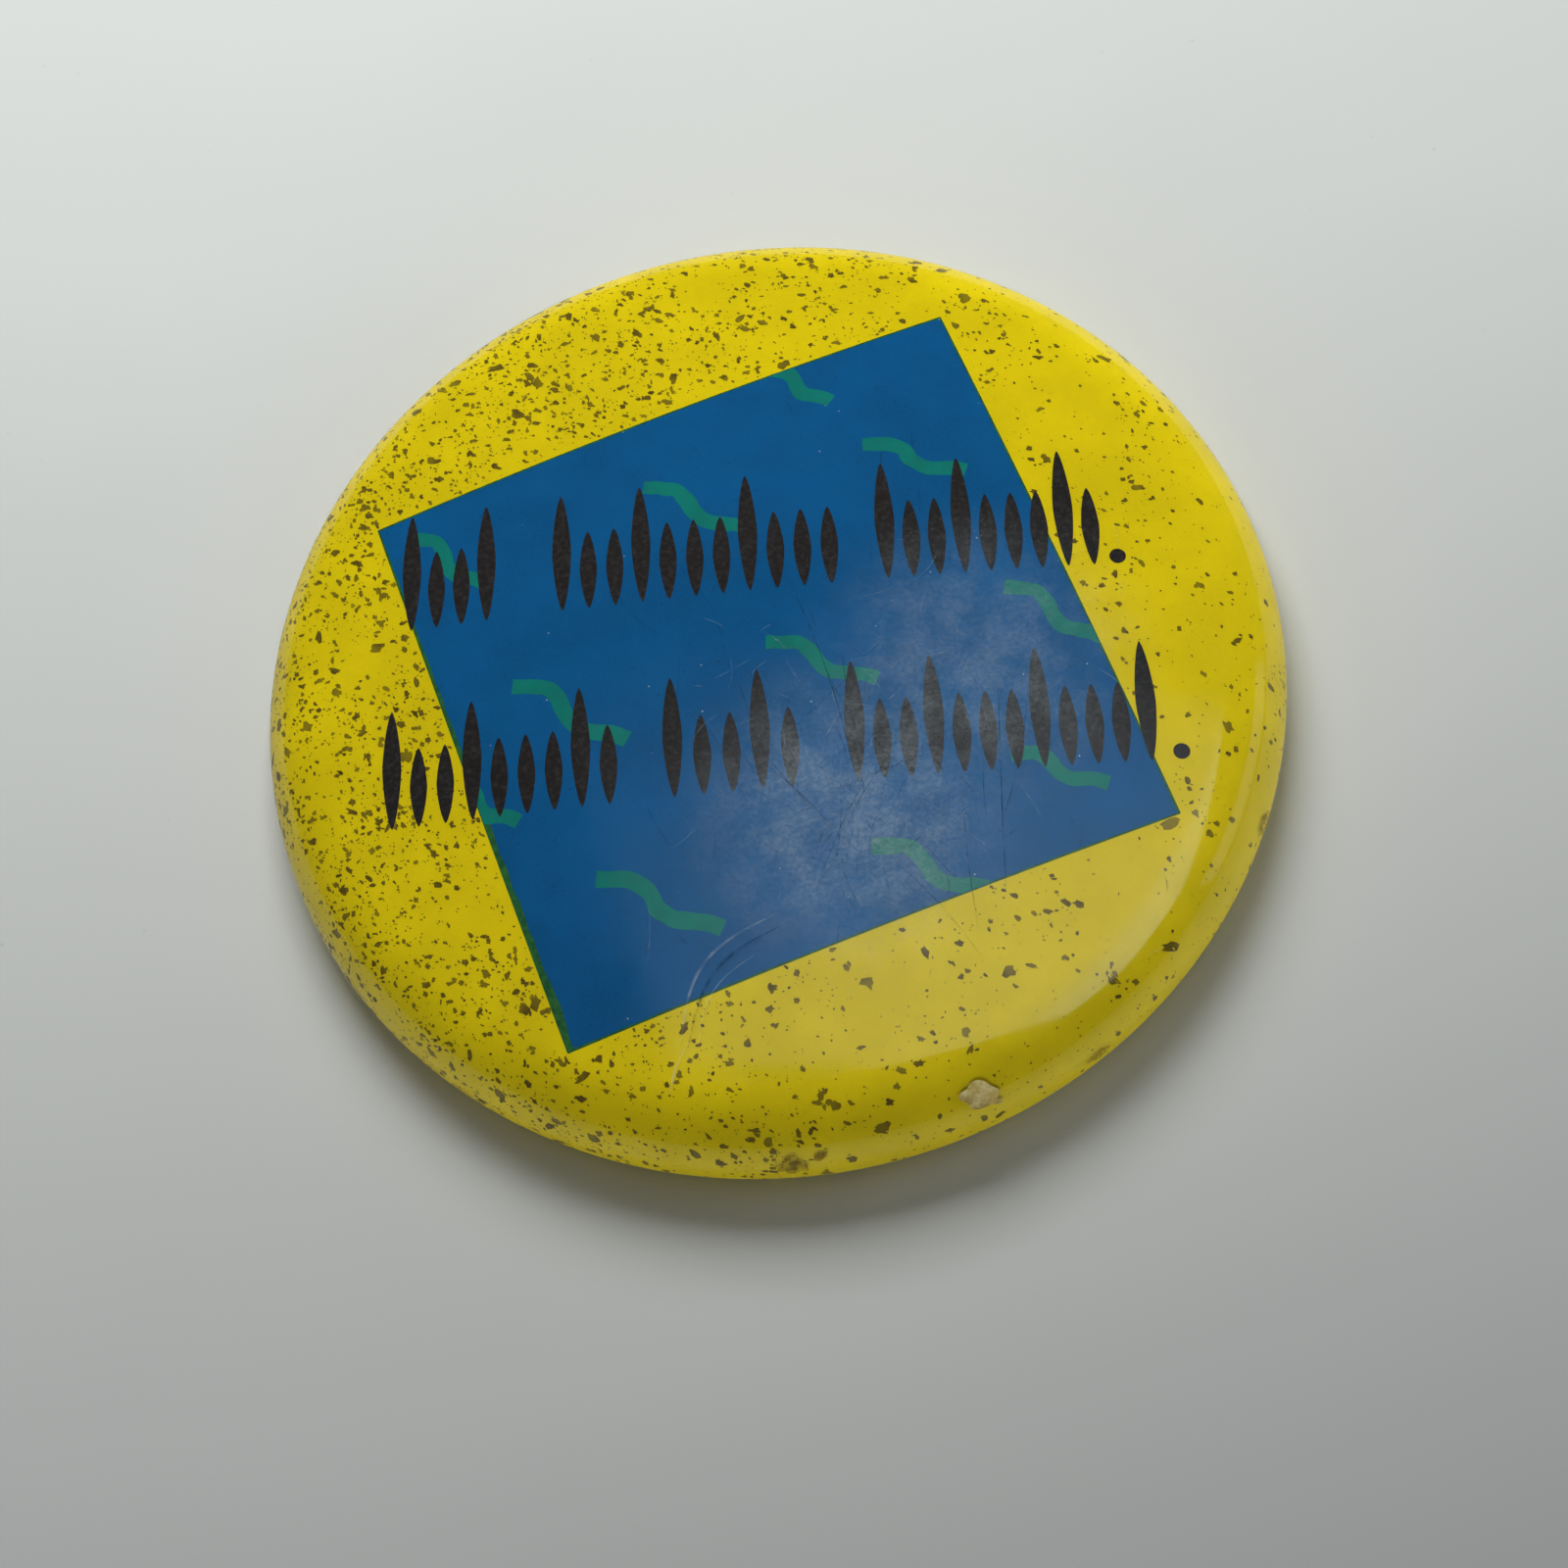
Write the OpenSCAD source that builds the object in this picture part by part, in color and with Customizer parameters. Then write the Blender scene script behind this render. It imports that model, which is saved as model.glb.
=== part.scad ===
// Pin-back button badge: a domed shell with a printed paper and a clear film wrapped over it, a dished back
// plate held in the curl of the shell, and a sprung wire pin whose point rests in a hook of the plate.
// Millimetres. +Z is out of the face, +X runs along the print and along the pin, and Z = 0 is the plane that
// the rim stands on, with the origin at the centre of the badge.

/* [Badge] */
// Diameter over the clear film
badge_d = 57; // [50:0.5:70]
// Radius of the rounded rim, seen from the side
rim_r = 4.3; // [4:0.1:5]
// Slope of the domed face where it meets the rim, in degrees
face_slope = 6.6; // [5:0.1:8]
// Radius of the curl under the rim
curl_r = 1.7; // [1.6:0.05:2]
// How far the curl turns inwards past its lowest line, in degrees
curl_turn = 60; // [55:1:65]

/* [Layers] */
// Thickness of the clear film
film_t = 0.10; // [0.06:0.01:0.12]
// Thickness of the printed paper
paper_t = 0.14; // [0.10:0.01:0.16]
// Thickness of the tinplate of the shell
shell_t = 0.28; // [0.24:0.01:0.32]
// Gap left between touching layers
layer_gap = 0.01; // [0.005:0.005:0.02]

/* [Back plate] */
// Thickness of the tinplate of the back plate
plate_t = 0.28; // [0.24:0.01:0.30]
// Radius of the dish, inside its wall
dish_r = 20.8; // [20.4:0.1:21.2]

/* [Pin] */
// Diameter of the spring wire
wire_d = 0.8; // [0.7:0.05:0.85]
// Radius of the coil, to the middle of the wire
coil_r = 1.35; // [1.3:0.05:1.4]
// Tilt of the coil, which makes the pin swing out of the dish as it swings sideways, in degrees
coil_tilt = 30; // [28:1:32]
// Distance of the coil from the centre of the badge
coil_x = 17.4; // [17:0.1:17.8]
// Distance of the point from the centre of the badge
point_x = 18.2; // [17.8:0.1:18.6]
// Length of the ground point
point_len = 5.6; // [5.2:0.1:5.8]
// Height of the closed pin above the plane that the rim stands on
pin_z = 1.1; // [1.05:0.05:1.2]

/* [Hidden] */

turn_fn = 180;      // steps round the badge
arc_fn = 96;        // steps round a bend
dome_fn = 1440;     // steps round the large circle of the face
wire_fn = 40;       // steps round the wire
over = 1;           // how far a cutting shape runs past what it cuts

// Sizes that meet on a seam are kept to whole hundredths of a millimetre
function hundredth(v) = round(100 * v) / 100;

badge_r = badge_d / 2;
rim_x = badge_r - rim_r;                       // middle of the rim's arc
curl_x = badge_r - curl_r;                     // middle of the curl's arc, level with the rim's
wide_z = curl_r;                               // height of the widest circle
join_x = rim_x + rim_r * sin(face_slope);      // where the face meets the rim
dome_r = join_x / sin(face_slope);
dome_z = wide_z - (dome_r - rim_r) * cos(face_slope);
dome_dip = 0.002;                              // sinks the face a little, so that it crosses the rim's arc

// How deep each layer's outer side lies under the surface of the badge
paper_in = film_t + layer_gap;
shell_in = paper_in + paper_t + layer_gap;
wall_in = shell_in + shell_t;

// The plate rests on the end of the shell's curl, and its flange stops under the rim
plate_z = hundredth(wide_z - (curl_r - wall_in) * cos(curl_turn)) + layer_gap;
flange_r = badge_r - 1.05;
flange_z = 3.3;
flange_bend = 0.6;

wire_r = wire_d / 2;
wire_gap = 0.02;                               // between the wire and what holds it
knee_r = wire_r + 0.02;                        // a slight bend, a little fuller than the wire
knee_cut = 0.07;                               // how far short of its middle the straight pieces stop
elbow_r = 0.5;                                 // a square bend, to the middle of the wire
turn_step = wire_d + 0.06;                     // from one turn of the coil to the next

// The coil's axis is [0, sin(tilt), cos(tilt)]. The arm leaves one turn on the side that swings open, and
// the fixed leg leaves the other turn on the opposite side.
coil_y = -(coil_r * cos(coil_tilt) - turn_step / 2 * sin(coil_tilt));
coil_z = pin_z + coil_r * sin(coil_tilt) + turn_step / 2 * cos(coil_tilt);
coil_sweep = 270;                              // each turn stops short of the leg that leaves it
leg_y = hundredth(2 * coil_y);
leg_z = hundredth(2 * coil_z - pin_z);
leg_end_x = 1.5;                               // where the fixed leg turns up through the plate
clinch_len = 2;                                // its end, bent over inside
dish_z = hundredth(leg_z + wire_r + wire_gap); // underside of the dish
dish_bend = 0.9;                               // radius of the dish's bends, on the tighter side

jog_from = 2.4;                                // the arm steps sideways this far past the coil
jog_run = 2.2;
jog_side = 0.6;
point_r = 0.05;                                // radius at the very tip
stem_y = -jog_side;

bridge_x = [-11.6, -4.4];                      // middles of the two wire bridges
bridge_w = 2.4;
leg_hole_r = wire_r + 0.15;

hook_x = 15.4;                                 // middle of the catch hook
hook_w = 2.8;
hook_r = 0.55;                                 // inside radius of the hook
hook_turn = 110;                               // how far round the pin it reaches, in degrees
hook_bend = 0.15;                              // radius of its fold out of the plate
hook_window = 3.6;                             // length of the opening that the hook was bent out of

// A slice of a ring about the origin, from angle a0 to a1, under 180 degrees apart
module ring_slice(r_out, r_in, a0, a1) {
    far = 2 * r_out;
    mid = (a0 + a1) / 2;
    intersection() {
        difference() {
            circle(r = r_out, $fn = arc_fn);
            circle(r = r_in, $fn = arc_fn);
        }
        polygon([[0, 0], far * [cos(a0), sin(a0)], far * [cos(mid), sin(mid)], far * [cos(a1), sin(a1)]]);
    }
}

// All that lies deeper than d under the badge's surface, down to the given distance below its widest circle
module inside(d, below) {
    intersection() {
        translate([rim_x, wide_z])
            circle(r = rim_r - d, $fn = arc_fn);
        translate([rim_x - rim_r, wide_z - below])
            square([2 * rim_r, 2 * rim_r]);
    }
    intersection() {
        translate([0, dome_z])
            circle(r = dome_r - d - dome_dip, $fn = dome_fn);
        translate([0, wide_z - below])
            square([join_x - d * sin(face_slope), 2 * rim_r]);
    }
}

// One layer, between two depths, from the face round to the curl's inner end
module layer(d0, d1, turn) {
    rotate_extrude($fn = turn_fn) {
        difference() {
            inside(d0, 0);
            inside(d1, over);
        }
        translate([curl_x, wide_z]) {
            ring_slice(curl_r - d0, curl_r - d1, -90, 0);
            ring_slice(curl_r - d0, curl_r - d1, -90 - turn, -90);
        }
    }
}

module clear_film() {
    color("azure", 0.4)
        layer(0, film_t, curl_turn - 5);
}

module printed_paper() {
    color("gold")
        layer(paper_in, paper_in + paper_t, curl_turn - 3);
}

module shell() {
    color("silver")
        layer(shell_in, wall_in, curl_turn);
}

// The plate's outline: dish, upright wall, flat ring and flange, with round bends between them
module plate_outline() {
    bend_out = dish_bend + plate_t;
    ring_x = dish_r + bend_out;
    flange_x = flange_r - flange_bend;
    flat_z = plate_z + bend_out;
    translate([0, dish_z])
        square([dish_r - dish_bend, plate_t]);
    translate([dish_r - dish_bend, dish_z - dish_bend])
        ring_slice(bend_out, dish_bend, 0, 90);
    translate([dish_r, flat_z])
        square([plate_t, dish_z - dish_bend - flat_z]);
    translate([ring_x, flat_z])
        ring_slice(bend_out, dish_bend, 180, 270);
    translate([ring_x, plate_z])
        square([flange_x - ring_x, plate_t]);
    translate([flange_x, plate_z + flange_bend])
        ring_slice(flange_bend, flange_bend - plate_t, -90, 0);
    translate([flange_r - plate_t, plate_z + flange_bend])
        square([plate_t, flange_z - plate_z - flange_bend]);
}

// Stands an outline drawn in Y and Z upright, and gives it a width along X about x
module along_x(x, w) {
    translate([x - w / 2, 0, 0])
        rotate([90, 0, 90])
            linear_extrude(w)
                children();
}

// A strip of the plate pressed down round the fixed leg
module bridge(x) {
    held_r = wire_r + wire_gap;
    along_x(x, bridge_w)
        difference() {
            union() {
                translate([leg_y, leg_z])
                    circle(r = held_r + plate_t, $fn = arc_fn);
                translate([leg_y - held_r - plate_t, leg_z])
                    square([2 * (held_r + plate_t), dish_z + plate_t / 2 - leg_z]);
            }
            translate([leg_y, leg_z])
                circle(r = held_r, $fn = arc_fn);
            translate([leg_y - held_r, leg_z])
                square(2 * held_r);
        }
}

module bridge_window(x) {
    translate([x - bridge_w / 2, leg_y - wire_r - wire_gap, dish_z - over])
        cube([bridge_w, wire_d + 2 * wire_gap, plate_t + 2 * over]);
}

// The tongue that the point rests in, folded down and round under it
module hook() {
    fold_y = stem_y - hook_r - plate_t - hook_bend;
    fold_z = dish_z - hook_bend;
    along_x(hook_x, hook_w) {
        translate([fold_y, fold_z])
            ring_slice(hook_bend + plate_t, hook_bend, 0, 90);
        translate([fold_y + hook_bend, pin_z])
            square([plate_t, fold_z - pin_z]);
        translate([stem_y, pin_z])
            ring_slice(hook_r + plate_t, hook_r, 180, 180 + hook_turn);
    }
}

module hook_window() {
    fold_y = stem_y - hook_r - plate_t - hook_bend;
    translate([hook_x - hook_w / 2, fold_y, dish_z - over])
        cube([hook_w, hook_window, plate_t + 2 * over]);
}

module back_plate() {
    color("lightsteelblue") {
        difference() {
            rotate_extrude($fn = turn_fn)
                plate_outline();
            for (x = bridge_x)
                bridge_window(x);
            hook_window();
            translate([leg_end_x, leg_y, dish_z - over])
                cylinder(r = leg_hole_r, h = plate_t + 2 * over, $fn = wire_fn);
        }
        for (x = bridge_x)
            bridge(x);
        hook();
    }
}

// The point at a distance d from a towards b
function towards(a, b, d) = a + d * (b - a) / norm(b - a);

// A straight piece of wire from a to b
module wire(a, b) {
    run = b - a;
    translate(a)
        rotate([0, acos(run[2] / norm(run)), atan2(run[1], run[0])])
            cylinder(r = wire_r, h = norm(run), $fn = wire_fn);
}

// A slight bend, which joins two pieces of wire that stop knee_cut short of it
module knee(p) {
    translate(p)
        rotate([0, 90, 0])
            sphere(r = knee_r, $fn = wire_fn);
}

// A square bend in an upright plane along X, about the point p, from the direction a0 in that plane
module elbow(p, a0) {
    translate(p)
        rotate([90, 0, 0])
            rotate([0, 0, a0])
                rotate_extrude(angle = 90, $fn = arc_fn)
                    translate([elbow_r, 0])
                        circle(r = wire_r, $fn = wire_fn);
}

// A turn of the coil at a height along its axis, from the direction a0 in its plane
module coil_turn(h, a0) {
    translate([-coil_x, coil_y, coil_z])
        rotate([-coil_tilt, 0, 0])
            translate([0, 0, h])
                rotate([0, 0, a0])
                    rotate_extrude(angle = coil_sweep, $fn = arc_fn)
                        translate([coil_r, 0])
                            circle(r = wire_r, $fn = wire_fn);
}

// The fixed leg runs under the bridges, up through the plate and over on top of it
module pin_spring() {
    clinch_z = dish_z + plate_t + wire_r + 0.04;
    start = [-coil_x, leg_y, leg_z];
    turn_up = leg_end_x - elbow_r;
    rise = [leg_end_x, leg_y, leg_z + elbow_r];
    turn_over = [leg_end_x + elbow_r, leg_y, clinch_z];
    color("gray") {
        coil_turn(turn_step / 2, 0);
        knee(start + [knee_cut, 0, 0]);
        wire(start + [2 * knee_cut, 0, 0], [turn_up, leg_y, leg_z]);
        elbow([turn_up, leg_y, leg_z + elbow_r], -90);
        wire(rise, [leg_end_x, leg_y, clinch_z - elbow_r]);
        elbow(turn_over - [0, 0, elbow_r], 90);
        wire(turn_over, turn_over + [clinch_len, 0, 0]);
    }
}

module pin_arm() {
    start = [-coil_x, 0, pin_z];
    jog = start + [jog_from, 0, 0];
    stem = jog + [jog_run, stem_y, 0];
    taper = [point_x - point_len, stem_y, pin_z];
    color("dimgray") {
        coil_turn(-turn_step / 2, 90);
        knee(start + [knee_cut, 0, 0]);
        wire(start + [2 * knee_cut, 0, 0], towards(jog, start, knee_cut));
        knee(jog);
        wire(towards(jog, stem, knee_cut), towards(stem, jog, knee_cut));
        knee(stem);
        wire(towards(stem, taper, knee_cut), taper);
        translate(taper)
            rotate([0, 90, 0])
                cylinder(r1 = wire_r, r2 = point_r, h = point_len, $fn = wire_fn);
    }
}

clear_film();
printed_paper();
shell();
back_plate();
pin_spring();
pin_arm();
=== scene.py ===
"""Looks of a pin-back button badge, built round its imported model.

The badge is a tinplate shell with a printed paper and a clear film wrapped over its face. A dished back plate
carries a sprung wire pin. Shapes are drawn in millimetres and stored in metres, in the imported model's frame.
"""

import math
import random

import bmesh
import bpy
from mathutils import Matrix, Vector, noise


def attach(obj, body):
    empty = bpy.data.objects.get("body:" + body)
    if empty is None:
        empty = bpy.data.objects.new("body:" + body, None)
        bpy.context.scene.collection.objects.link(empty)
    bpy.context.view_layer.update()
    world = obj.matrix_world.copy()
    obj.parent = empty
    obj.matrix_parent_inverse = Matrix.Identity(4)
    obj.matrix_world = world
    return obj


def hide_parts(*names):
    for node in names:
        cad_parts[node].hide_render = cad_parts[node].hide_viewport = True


bl_info = {
    "name": "Button Badge",
    "version": (1, 0, 0),
    "blender": (4, 5, 0),
    "location": "View3D > Sidebar > Badge",
    "description": "Builds a pin-back button badge piece by piece round its packed model",
    "category": "Object",
}

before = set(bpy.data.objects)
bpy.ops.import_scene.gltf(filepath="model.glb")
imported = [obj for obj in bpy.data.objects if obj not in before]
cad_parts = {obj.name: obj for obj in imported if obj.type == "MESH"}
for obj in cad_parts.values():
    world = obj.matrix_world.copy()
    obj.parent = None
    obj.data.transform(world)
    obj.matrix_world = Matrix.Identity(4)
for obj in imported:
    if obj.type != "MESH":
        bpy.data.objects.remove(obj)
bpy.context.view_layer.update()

MM = 0.001

# The badge's profile: a shallow dome, a rounded rim and a curl under it
DOME_R, DOME_Z = 214.85, -207.455
RIM_R, RIM_X = 4.3, 24.2
CURL_R, CURL_X = 1.7, 26.8
WIDE_Z = 1.7
FACE_SLOPE = math.radians(6.6)
FACE_REACH = DOME_R * FACE_SLOPE
FACE_EDGE = 24.69
RIM_REACH = FACE_REACH + RIM_R * (math.pi / 2 - FACE_SLOPE)

# Depths of the layers under the outside of the badge
FILM = (0.0, 0.098)
PAPER = (0.115, 0.25)
SHELL = (0.26, 0.54)
FLAT_INK, LINE_INK, MARK_INK = 0.111, 0.109, 0.107

# The back plate and the pin
PLATE_T = 0.28
DISH_Z = 3.61
STRIP_T = 0.27
BRIDGE_X, BRIDGE_W = (-11.6, -4.4), 2.4
HOOK_X, HOOK_W = 15.4, 2.8
WIRE_HOLE_X = 1.5
WIRE_R = 0.4
STEM_Y, STEM_Z = -0.6, 1.1
LEG_Y, LEG_Z = -1.91, 3.19
COIL_MID = Vector((-17.4, -0.954, 2.147))
COIL_R, COIL_TILT, COIL_STEP, COIL_PART = 1.35, math.radians(30), 0.86, 360

INK_SHINE = 0.12
FAR_SHADE = 0.8  # of the floor's colour, for the far floor and the background


# ---------------------------------------------------------------- sizes and colours that a user would change


class BadgePrint(bpy.types.PropertyGroup):
    """The printed design"""

    ground: bpy.props.FloatVectorProperty(
        name="Ground", description="Colour of the paper's printed ground", subtype="COLOR",
        size=3, min=0, max=1, default=(0.76, 0.60, 0.001))
    square: bpy.props.FloatVectorProperty(
        name="Square", description="Colour of the large turned square", subtype="COLOR",
        size=3, min=0, max=1, default=(0.001, 0.090, 0.265))
    squiggle: bpy.props.FloatVectorProperty(
        name="Squiggles", description="Colour of the squiggles on the square", subtype="COLOR",
        size=3, min=0, max=1, default=(0.0, 0.215, 0.168))
    black: bpy.props.FloatVectorProperty(
        name="Black", description="Colour of the rows of marks", subtype="COLOR",
        size=3, min=0, max=1, default=(0.016, 0.014, 0.014))
    square_width: bpy.props.FloatProperty(
        name="Square Width", description="Width of the square on the flat paper",
        unit="LENGTH", default=34.3 * MM, min=10 * MM, max=38 * MM)
    square_height: bpy.props.FloatProperty(
        name="Square Height", description="Height of the square on the flat paper",
        unit="LENGTH", default=33.7 * MM, min=10 * MM, max=38 * MM)
    square_turn: bpy.props.FloatProperty(
        name="Square Turn", description="How far the square is turned against the rows of marks",
        subtype="ANGLE", default=math.radians(17.6), min=0, max=math.radians(45))
    flecks: bpy.props.IntProperty(
        name="Flecks", description="Number of dark flecks printed on the ground",
        default=9800, min=0, max=12000)
    seed: bpy.props.IntProperty(
        name="Seed", description="Arrangement of the flecks and scratches", default=7, min=0)


class BadgeWear(bpy.types.PropertyGroup):
    """Wear of the film and tarnish of the metal"""

    haze: bpy.props.FloatProperty(
        name="Haze", description="Milky haze in the film where it was rubbed", subtype="FACTOR",
        default=0.27, min=0, max=1)
    scratches: bpy.props.IntProperty(
        name="Scratches", description="Number of hairline scratches on the film", default=150, min=0, max=400)
    tarnish: bpy.props.FloatProperty(
        name="Tarnish", description="Share of the tinplate that has dulled", subtype="FACTOR",
        default=0.4, min=0, max=1)


class BadgeStage(bpy.types.PropertyGroup):
    """Floor, camera and lights"""

    floor: bpy.props.FloatVectorProperty(
        name="Floor", description="Colour of the plain floor", subtype="COLOR",
        size=3, min=0, max=1, default=(0.685, 0.71, 0.695))
    lens: bpy.props.FloatProperty(
        name="Lens", description="Focal length of the camera, in millimetres", default=65.7, min=20, max=200)
    key: bpy.props.FloatProperty(
        name="Key Light", description="Strength of the large light behind the badge", subtype="POWER",
        default=0.66, min=0, max=10)
    fill: bpy.props.FloatProperty(
        name="Sky", description="Strength of the even light from all sides", default=0.045, min=0, max=5)
    veil: bpy.props.FloatProperty(
        name="Ceiling Panel", description="Strength of the panel that the film mirrors",
        default=0.88, min=0, max=10)


# ------------------------------------------------------------------------------------------ shape helpers


def profile_point(reach, depth):
    """(radius, height) of the layers' profile, at a flat-paper distance from the middle and a depth."""
    if reach <= FACE_REACH:
        turn = reach / DOME_R
        radius, height, r = 0, DOME_Z, DOME_R
    elif reach <= RIM_REACH:
        turn = FACE_SLOPE + (reach - FACE_REACH) / RIM_R
        radius, height, r = RIM_X, WIDE_Z, RIM_R
    else:
        turn = math.pi / 2 + (reach - RIM_REACH) / CURL_R
        radius, height, r = CURL_X, WIDE_Z, CURL_R
    return radius + (r - depth) * math.sin(turn), height + (r - depth) * math.cos(turn)


def layer_outline(depths, curl_turn):
    """Closed outline of a wrapped layer: out over its top side and back along its underside."""
    curl_reach = RIM_REACH + CURL_R * (math.pi / 2 + math.radians(curl_turn))
    stops = [FACE_REACH * i / 18 for i in range(18)]
    stops += [FACE_REACH + (RIM_REACH - FACE_REACH) * i / 36 for i in range(36)]
    stops += [RIM_REACH + (curl_reach - RIM_REACH) * i / 36 for i in range(37)]
    top = [profile_point(s, depths[0]) for s in stops]
    return top + [profile_point(s, depths[1]) for s in reversed(stops)]


def pleats(turn):
    """How far the layers' gathered edge puffs out at an angle round the badge, as a share."""
    where = Vector((math.cos(turn), math.sin(turn), 2.0)) * 9
    return max(0.0, 0.45 + 0.9 * noise.noise(where))


def spun(outline, steps=288, closed=True):
    """An outline of (radius, height) points turned once round Z."""
    bm = bmesh.new()
    verts = [bm.verts.new((radius, 0, height)) for radius, height in outline]
    edges = [bm.edges.new(pair) for pair in zip(verts, verts[1:])]
    if closed and outline[0][0] > 1e-6:
        edges.append(bm.edges.new((verts[-1], verts[0])))
    bmesh.ops.spin(
        bm, geom=verts + edges, cent=(0, 0, 0), axis=(0, 0, 1), dvec=(0, 0, 0),
        angle=math.tau, steps=steps, use_merge=True, use_duplicate=False)
    bmesh.ops.remove_doubles(bm, verts=bm.verts, dist=1e-4)
    bmesh.ops.recalc_face_normals(bm, faces=bm.faces)
    return bm


def arc(middle, radius, start, end, steps=10):
    """Points of an arc in a plane, with its angles in degrees."""
    turns = [math.radians(start + (end - start) * i / steps) for i in range(steps + 1)]
    return [(middle[0] + radius * math.cos(t), middle[1] + radius * math.sin(t)) for t in turns]


def sideways(step):
    """Unit vector to the left of a step in X and Y."""
    return Vector((-step.y, step.x, 0)).normalized()


def widened(bm, edges):
    """Extrudes a row of edges in place, and gives the new row's vertices and edges."""
    made = bmesh.ops.extrude_edge_only(bm, edges=edges)["geom"]
    verts = [item for item in made if isinstance(item, bmesh.types.BMVert)]
    fresh = set(verts)
    return verts, [e for e in made if isinstance(e, bmesh.types.BMEdge) and fresh.issuperset(e.verts)]


def face_up(bm):
    """Turns every face of a flat drawing to look up."""
    for face in bm.faces:
        if face.normal.z < 0:
            face.normal_flip()


def lift(bm, depth):
    """Wraps a flat drawing in X and Y over the badge, at a depth under its outside."""
    for vert in bm.verts:
        reach = math.hypot(vert.co.x, vert.co.y)
        radius, height = profile_point(reach, depth)
        share = radius / reach if reach > 1e-6 else 1
        vert.co = (vert.co.x * share, vert.co.y * share, height)


def as_object(name, bm, *materials):
    """Turns a mesh in millimetres into an object in metres."""
    bm.transform(Matrix.Scale(MM, 4))
    mesh = bpy.data.meshes.new(name)
    bm.to_mesh(mesh)
    bm.free()
    for material in materials:
        mesh.materials.append(material)
    item = bpy.data.objects.new(name, mesh)
    bpy.context.scene.collection.objects.link(item)
    return item


def as_piece(name, bm, body, slot, *materials, sharp=None):
    """Turns a mesh in millimetres into a smooth piece of the badge that rides on a body."""
    piece = as_object(name, bm, *materials)
    mesh = piece.data
    mesh.polygons.foreach_set("use_smooth", [True] * len(mesh.polygons))
    if sharp is not None:
        mesh.set_sharp_from_angle(angle=math.radians(sharp))
    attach(piece, body)
    return piece


def settled(bm, *modifiers):
    """Runs modifiers on a mesh and gives back the result, still in millimetres."""
    mesh = bpy.data.meshes.new("blank")
    bm.to_mesh(mesh)
    bm.free()
    blank = bpy.data.objects.new("blank", mesh)
    bpy.context.scene.collection.objects.link(blank)
    for kind, settings in modifiers:
        modifier = blank.modifiers.new(kind.title(), kind)
        for key, value in settings.items():
            setattr(modifier, key, value)
    depsgraph = bpy.context.evaluated_depsgraph_get()
    result = bmesh.new()
    result.from_object(blank, depsgraph)
    bpy.data.objects.remove(blank)
    return result


def take_in(bm, other):
    """Adds another mesh to bm."""
    mesh = bpy.data.meshes.new("part")
    other.to_mesh(mesh)
    other.free()
    bm.from_mesh(mesh)
    bpy.data.meshes.remove(mesh)


def metal_strip(path, x, width, thickness, tip=0.0):
    """A bent strip of sheet: its path is drawn in Y and Z, and its width runs along X about x."""
    bm = bmesh.new()
    verts = [bm.verts.new((x - width / 2, y, z)) for y, z in path]
    across, _ = widened(bm, [bm.edges.new(pair) for pair in zip(verts, verts[1:])])
    bmesh.ops.translate(bm, verts=across, vec=(width, 0, 0))
    if tip:
        end = Vector((0, *path[-1]))
        corners = [v for v in bm.verts if (Vector((0, v.co.y, v.co.z)) - end).length < 1e-5]
        for corner in corners:
            corner.co.x += tip if corner.co.x < x else -tip
    return settled(
        bm,
        ("SOLIDIFY", {"thickness": thickness, "offset": 0, "use_even_offset": True}),
        ("BEVEL", {"width": 0.05, "segments": 3, "limit_method": "ANGLE", "angle_limit": math.radians(50)}))


def tube(points, radii, sides=28):
    """A round wire swept along points, with a radius at each of them."""
    bm = bmesh.new()
    ring = bmesh.ops.create_circle(bm, cap_ends=True, radius=1, segments=sides)["verts"]
    ahead = (points[1] - points[0]).normalized()
    place = ahead.to_track_quat("Z", "Y")
    faces = list(bm.faces)
    flat = [v.co.copy() for v in ring]
    for vert, at in zip(ring, flat):
        vert.co = points[0] + place @ (at * radii[0])
    for i, point in enumerate(points[1:], 1):
        made = bmesh.ops.extrude_face_region(bm, geom=faces)["geom"]
        if i > 1:
            bmesh.ops.delete(bm, geom=faces, context="FACES")
        faces = [item for item in made if isinstance(item, bmesh.types.BMFace)]
        nearby = points[min(i + 1, len(points) - 1)] - points[i - 1]
        turned = ahead.rotation_difference(nearby.normalized())
        place, ahead = turned @ place, nearby.normalized()
        for vert, at in zip(faces[0].verts, flat):
            vert.co = point + place @ (at * radii[i])
    bmesh.ops.recalc_face_normals(bm, faces=bm.faces)
    return bm


# ---------------------------------------------------------------------------------------- material helpers


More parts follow.
